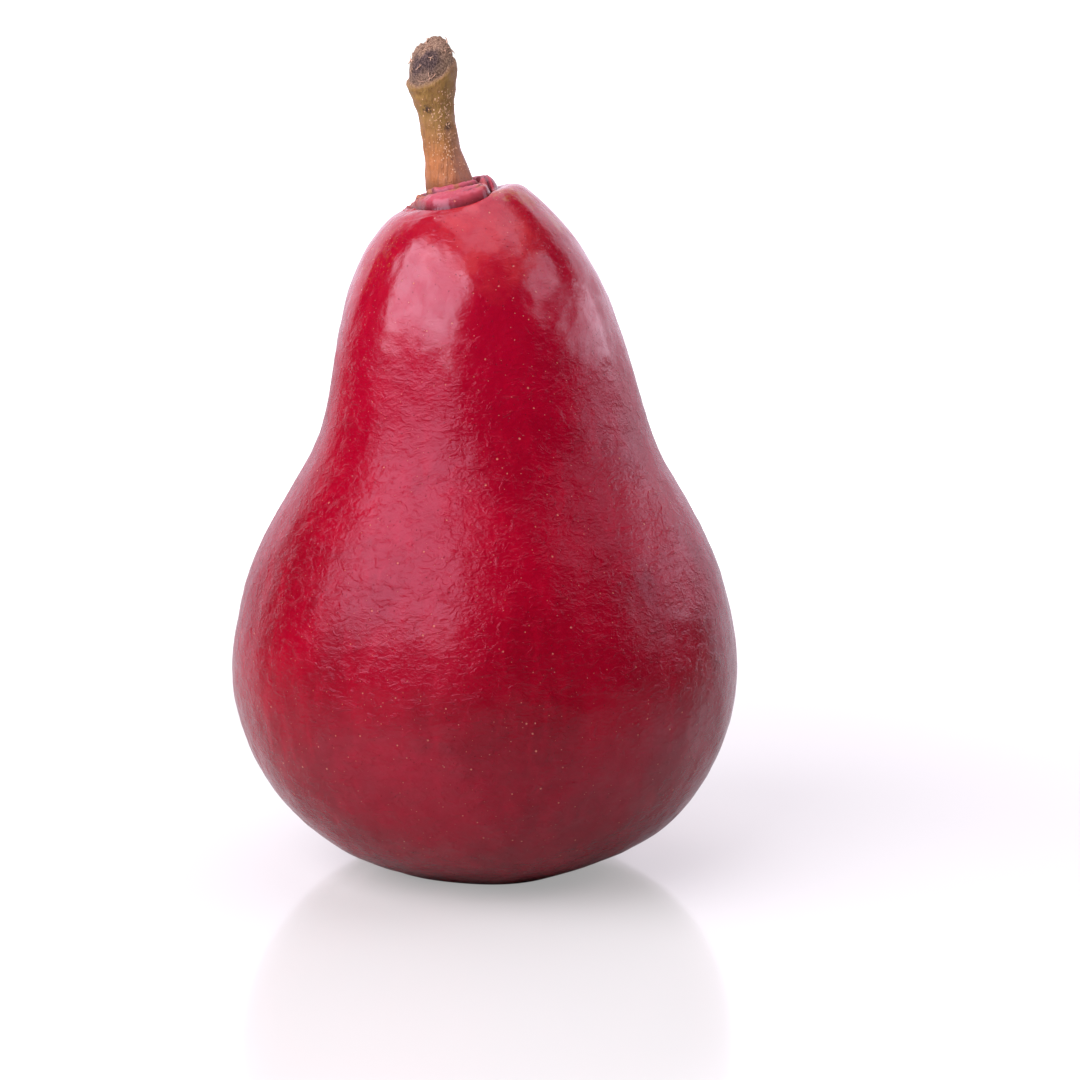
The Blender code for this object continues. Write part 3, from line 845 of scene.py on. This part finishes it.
def position(tree):
    return add(tree, "GeometryNodeInputPosition").outputs[0]


def painted(tree, name):
    """The numbers painted on the mesh under a name."""
    return add(tree, "GeometryNodeInputNamedAttribute", {"Name": name}, data_type="FLOAT").outputs[0]


def at_xyz(tree, **sides):
    return add(tree, "ShaderNodeCombineXYZ", sides).outputs[0]


def strewn_points(tree, given, share):
    """Points strewn over the given mesh where share is above 0."""
    density = times(tree, share, given.outputs["Per Square Metre"])
    inputs = {"Mesh": given.outputs["Geometry"], "Density": density, "Seed": given.outputs["Seed"]}
    return add(tree, "GeometryNodeDistributePointsOnFaces", inputs, distribute_method="RANDOM").outputs


def random_size(tree, given, low, high):
    inputs = {2: low, 3: high, "Seed": given.outputs["Seed"]}
    return add(tree, "FunctionNodeRandomValue", inputs).outputs[1]


def random_angles(tree, given, low, high):
    inputs = {0: low, 1: high, "Seed": given.outputs["Seed"]}
    return add(tree, "FunctionNodeRandomValue", inputs, data_type="FLOAT_VECTOR").outputs[0]


def rotation(tree, angles):
    return add(tree, "FunctionNodeEulerToRotation", {0: angles}).outputs[0]


def placed(tree, points, shape, turn, size):
    """A copy of a shape at every point."""
    inputs = {"Points": points, "Instance": shape, "Rotation": turn, "Scale": size}
    return add(tree, "GeometryNodeInstanceOnPoints", inputs).outputs[0]


def moved(tree, shape, **change):
    return add(tree, "GeometryNodeTransform", {"Geometry": shape} | change).outputs[0]


def joined(tree, *shapes):
    whole = add(tree, "GeometryNodeJoinGeometry")
    for shape in shapes:
        tree.links.new(shape, whole.inputs[0])
    return whole.outputs[0]


def bent_line(tree, steps, start, middle, end):
    inputs = {"Resolution": steps, "Start": start, "Middle": middle, "End": end}
    return add(tree, "GeometryNodeCurveQuadraticBezier", inputs).outputs[0]


def tube(tree, line, sides, radius, taper):
    """A closed tube along a line: taper scales its round section."""
    section = add(tree, "GeometryNodeCurvePrimitiveCircle", {"Resolution": sides, "Radius": radius})
    inputs = {"Curve": line, "Profile Curve": section.outputs[0], "Scale": taper, "Fill Caps": True}
    return add(tree, "GeometryNodeCurveToMesh", inputs).outputs[0]


def make_relief_tree():
    """Gentle swellings, dimples and fine wrinkles of the skin, pushed out and in along its normals."""
    numbers = {
        "Swell Height": 0.25,
        "Swell Length": 18.0,
        "Dimple Height": 0.05,
        "Dimple Length": 4.0,
        "Wrinkle Height": 0.012,
        "Wrinkle Length": 1.9,
    }
    tree, given, made = growth("skin relief", numbers)
    place = scaled(tree, position(tree), 1 / MM)
    total = 0.0
    for part, detail, squeeze in (("Swell", 1.0, 0.7), ("Dimple", 2.0, 1.5), ("Wrinkle", 2.0, 1.5)):
        per = maths(tree, "DIVIDE", 1.0, given.outputs[part + " Length"])
        field = noise(tree, stretched(tree, place, 1.0, 1.0, squeeze), per, detail)
        wave = times(tree, minus(tree, field, 0.55), 2.0)
        total = plus(tree, total, times(tree, wave, given.outputs[part + " Height"]))
    total = times(tree, times(tree, total, painted(tree, "relief")), MM)
    push = scaled(tree, add(tree, "GeometryNodeInputNormal").outputs[0], total)
    inputs = {"Geometry": given.outputs["Geometry"], "Offset": push}
    return finish_growth(tree, given, made, add(tree, "GeometryNodeSetPosition", inputs).outputs[0])


def make_wart_tree():
    """Small flat warts scattered over the parts of the stem that carry them."""
    tree, given, made = growth("corky warts", {"Per Square Metre": 6e6, "Wart Radius": 0.0001, "Seed": 4})
    spots = strewn_points(tree, given, painted(tree, "warts"))
    inputs = {"Radius": given.outputs["Wart Radius"], "Subdivisions": 1}
    ball = add(tree, "GeometryNodeMeshIcoSphere", inputs).outputs[0]
    wart = moved(tree, ball, Scale=(1.0, 1.35, 0.6))
    size = random_size(tree, given, 0.4, 1.25)
    strewn = placed(tree, spots["Points"], wart, spots["Rotation"], size)
    return finish_growth(tree, given, made, strewn)


def make_fibre_tree():
    """Short torn wood fibres that stand up from the broken end of the stem."""
    numbers = {"Per Square Metre": 0.45e6, "Fibre Length": 0.0011, "Fibre Radius": 0.0001, "Seed": 9}
    tree, given, made = growth("torn fibres", numbers)
    spots = strewn_points(tree, given, maths(tree, "POWER", painted(tree, "broken"), 3.0))
    bent = at_xyz(tree, X=0.00025, Y=0.0003, Z=0.0005)
    end = at_xyz(tree, Z=given.outputs["Fibre Length"])
    line = bent_line(tree, 5, (0.0, 0.0, -0.0001), bent, end)
    taper = minus(tree, 1.05, add(tree, "GeometryNodeSplineParameter").outputs["Factor"])
    line = add(tree, "GeometryNodeSetCurveRadius", {"Curve": line, "Radius": taper}).outputs[0]
    fibre = tube(tree, line, 5, given.outputs["Fibre Radius"], taper)
    lie = rotation(tree, random_angles(tree, given, (1.25, -0.25, 0.0), (1.55, 0.25, 6.28)))
    inputs = {0: spots["Rotation"], 1: lie}
    turn = add(tree, "FunctionNodeRotateRotation", inputs, rotation_space="LOCAL").outputs[0]
    strewn = placed(tree, spots["Points"], fibre, turn, random_size(tree, given, 0.4, 1.2))
    return finish_growth(tree, given, made, strewn)


def make_stamen_tree():
    """A ring of bent filaments, each with a dried anther, hanging from the disc in the calyx tube."""
    numbers = {"Count": 18, "Ring Radius": 0.0014, "Length": 0.0055, "Seed": 12}
    tree, given, made = growth("stamen tuft", numbers)
    inputs = {"Vertices": given.outputs["Count"], "Radius": given.outputs["Ring Radius"]}
    ring = add(tree, "GeometryNodeMeshCircle", inputs).outputs[0]
    points = add(tree, "GeometryNodeMeshToPoints", {"Mesh": ring}).outputs[0]
    down = times(tree, given.outputs["Length"], -1.0)
    bent = at_xyz(tree, X=-0.0004, Z=times(tree, down, 0.55))
    end = at_xyz(tree, X=0.0006, Z=down)
    line = bent_line(tree, 12, (0.0, 0.0, 0.0003), bent, end)
    along = add(tree, "GeometryNodeSplineParameter").outputs["Factor"]
    filament = tube(tree, line, 8, 0.00011, ranged(tree, along, 0.0, 1.0, 1.3, 0.6))
    inputs = {"Segments": 12, "Rings": 8, "Radius": 0.0003}
    anther = add(tree, "GeometryNodeMeshUVSphere", inputs).outputs[0]
    anther = moved(tree, anther, Translation=end, Scale=(0.75, 1.0, 1.5))
    side = split(tree, position(tree))
    facing = at_xyz(tree, Z=maths(tree, "ARCTAN2", side["Y"], side["X"]))
    stray = random_angles(tree, given, (-0.22, -0.16, -0.5), (0.22, 0.1, 0.5))
    turn = rotation(tree, vector(tree, "ADD", facing, stray))
    size = random_size(tree, given, 0.7, 1.0)
    tuft = placed(tree, points, joined(tree, filament, anther), turn, size)
    tuft = moved(tree, tuft, Translation=(0.0, 0.0, 0.0083))
    return finish_growth(tree, given, made, joined(tree, tuft, given.outputs["Geometry"]))


def make_sepal_tree():
    """One sepal from a flat grid: it narrows to a tip, curls down and out, and ruffles at its edges."""
    numbers = {
        "Length": 5.4,
        "Root Width": 3.3,
        "Tip Width": 0.5,
        "Root Radius": 2.9,
        "Root Height": 6.0,
        "Root Lean": 0.14,
        "Tip Lean": 1.45,
        "Ruffle": 0.16,
        "Seed": 1,
    }
    tree, given, made = growth("curled sepal", numbers)
    number = given.outputs
    here = position(tree)
    flat = split(tree, here)
    along = plus(tree, flat["X"], 0.5)
    across = times(tree, flat["Y"], 2.0)
    lean = minus(tree, number["Tip Lean"], number["Root Lean"])
    now = plus(tree, number["Root Lean"], times(tree, lean, along))
    now_cos, now_sin = maths(tree, "COSINE", now), maths(tree, "SINE", now)
    stretch = maths(tree, "DIVIDE", number["Length"], lean)
    reach = minus(tree, maths(tree, "COSINE", number["Root Lean"]), now_cos)
    fall = minus(tree, now_sin, maths(tree, "SINE", number["Root Lean"]))
    taper = minus(tree, 1.0, maths(tree, "POWER", along, 1.5))
    spare = minus(tree, number["Root Width"], number["Tip Width"])
    width = plus(tree, number["Tip Width"], times(tree, spare, taper))
    shifted = vector(tree, "ADD", here, at_xyz(tree, X=number["Seed"]))
    wave = minus(tree, noise(tree, shifted, 3.5, 2.0), 0.5)
    wave = times(tree, wave, times(tree, number["Ruffle"], 4.0))
    cup = times(tree, times(tree, across, across), 0.35)
    off = plus(tree, cup, times(tree, wave, plus(tree, along, 0.2)))
    x = plus(tree, number["Root Radius"], times(tree, stretch, reach))
    x = plus(tree, x, times(tree, off, now_cos))
    y = times(tree, times(tree, across, width), 0.5)
    z = minus(tree, number["Root Height"], times(tree, stretch, fall))
    z = plus(tree, z, times(tree, off, now_sin))
    spot = scaled(tree, at_xyz(tree, X=x, Y=y, Z=z), MM)
    inputs = {"Geometry": number["Geometry"], "Position": spot}
    return finish_growth(tree, given, made, add(tree, "GeometryNodeSetPosition", inputs).outputs[0])


# ------------ pieces


def settle(piece, node):
    """Attaches a finished piece to the root body, and hides the CAD part of the node it stands for, if
    any.
    """
    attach(piece, "root")
    if node:
        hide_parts(node)


def outward(piece):
    """Turns the faces of a closed piece outward."""
    shape = bmesh.new()
    shape.from_mesh(piece.data)
    bmesh.ops.recalc_face_normals(shape, faces=shape.faces)
    shape.to_mesh(piece.data)
    shape.free()


def thicken(piece, thickness):
    """Gives a thin sheet its wall, then leaves it a plain mesh."""
    wall = piece.modifiers.new("wall", "SOLIDIFY")
    wall.thickness = thickness
    wall.offset = 0.0
    mesh = evaluated_mesh(piece)
    piece.modifiers.clear()
    piece.data = mesh


fruit_blank = make_fruit()
relief = {"Swell Height": 0.6, "Dimple Height": 0.15, "Wrinkle Height": 0.045}
fruit = grow("pear_skin", fruit_blank.data, make_relief_tree(), relief, SKIN)
bpy.data.objects.remove(fruit_blank)
settle(fruit, "fruit")

stem = make_stem()
stem.data.materials.append(BARK)
warts = grow("stem_warts", stem.data, make_wart_tree(), {}, WART)
fibres = grow("stem_end_fibres", stem.data, make_fibre_tree(), {}, TORN_WOOD)
settle(stem, "stem")
settle(warts, None)
settle(fibres, None)

sepal_tree = make_sepal_tree()
sepal_grid = primitive("grid", bmesh.ops.create_grid, x_segments=26, y_segments=14, size=0.5)
for i in range(SEPALS):
    sizes = {"Length": 5.2 + 0.25 * math.sin(2.1 * i), "Seed": i + 1}
    sizes["Tip Lean"] = 1.35 + 0.18 * math.cos(1.7 * i)
    sepal = grow(f"sepal_blade_{i + 1}", sepal_grid, sepal_tree, sizes, SEPAL)
    sepal.data.transform(Matrix.Rotation(math.pi / 2 + i * 2 * math.pi / SEPALS, 4, "Z"))
    thicken(sepal, 0.5 * MM)
    outward(sepal)
    settle(sepal, f"sepal_{i + 1}")

disc = {"cap_ends": True, "segments": 40, "radius1": 0.0019, "radius2": 0.0021, "depth": 0.0008}
disc["matrix"] = Matrix.Translation((0, 0, 0.0085))
disc_mesh = primitive("calyx_disc", bmesh.ops.create_cone, **disc)
stamens = grow("stamen_tuft", disc_mesh, make_stamen_tree(), {}, STAMEN)
settle(stamens, "stamens")


# ------------ studio


def around(azimuth, elevation, distance, aim):
    """A place seen from aim: azimuth 0 is the front, positive to the right, in degrees."""
    a, e = math.radians(azimuth), math.radians(elevation)
    way = Vector((math.sin(a) * math.cos(e), -math.cos(a) * math.cos(e), math.sin(e)))
    return aim + way * distance


def point(obj, place, aim):
    """Puts a light or a camera at a place and turns it to its aim."""
    obj.location = place
    obj.rotation_mode = "QUATERNION"
    obj.rotation_quaternion = (aim - place).to_track_quat("-Z", "Y")


def softbox(name, place, width, height, power):
    light = bpy.data.lights.new(name, "AREA")
    light.shape = "RECTANGLE"
    light.size, light.size_y = width, height
    light.energy = power
    light.color = (1.0, 0.84, 1.0)
    obj = put(name, light)
    point(obj, place, STUDIO_MIDDLE)
    obj.visible_camera = False


def make_lights():
    softbox("key softbox", around(-51, 36, 0.5, STUDIO_MIDDLE), 0.62, 0.42, 4.3)
    softbox("right softbox", around(101, 16, 0.5, STUDIO_MIDDLE), 0.46, 0.15, 0.62)
    softbox("top softbox", STUDIO_MIDDLE + Vector((0.05, 0.02, 0.5)), 0.5, 0.42, 1.1)
    softbox("high right softbox", around(77, 39, 0.5, STUDIO_MIDDLE), 0.34, 0.13, 0.34)


def make_world():
    """White for the camera. For all other rays, bright at the back of the studio and dark elsewhere."""
    world = bpy.data.worlds.new("white studio")
    bpy.context.scene.world = world
    world.use_nodes = True
    tree = world.node_tree
    way = split(tree, add(tree, "ShaderNodeTexCoord").outputs["Generated"])
    at_the_back = ranged(tree, way["Y"], 0.5, 0.59, 0.012, 1.14)
    seen = add(tree, "ShaderNodeLightPath").outputs["Is Camera Ray"]
    strength = maths(tree, "MAXIMUM", seen, at_the_back)
    colour = tint(tree, seen, shade(0.98, 0.84, 1.0), shade(1.0, 1.0, 1.0))
    fill(tree, tree.nodes["Background"], {"Strength": strength, "Color": colour})


def make_floor():
    """A glossy white floor, lit up for the camera alone, and less so close to the pear."""
    mesh = primitive("floor", bmesh.ops.create_circle, cap_ends=True, segments=128, radius=4.0)
    floor = put("floor", mesh)
    finish, tree, shader, place = new_finish("white acrylic")
    fill(tree, shader, {"Base Color": shade(0.5, 0.575, 0.51), "Roughness": 0.1})
    seen = add(tree, "ShaderNodeLightPath").outputs["Is Camera Ray"]
    lift = times(tree, seen, ranged(tree, length(tree, place), 80.0, 300.0, 0.34, 0.9))
    glow = add(tree, "ShaderNodeEmission", {"Strength": lift}).outputs[0]
    both = add(tree, "ShaderNodeAddShader", {0: shader.outputs[0], 1: glow}).outputs[0]
    fill(tree, tree.nodes["Material Output"], {"Surface": both})
    mesh.materials.append(finish)


def make_camera():
    camera = bpy.data.cameras.new("camera")
    camera.lens = 100
    eye = put("camera", camera)
    point(eye, around(0, 10.5, 0.4267, CAMERA_AIM), CAMERA_AIM)
    bpy.context.scene.camera = eye


make_lights()
make_world()
make_floor()
make_camera()
bpy.context.scene.view_settings.view_transform = "Standard"
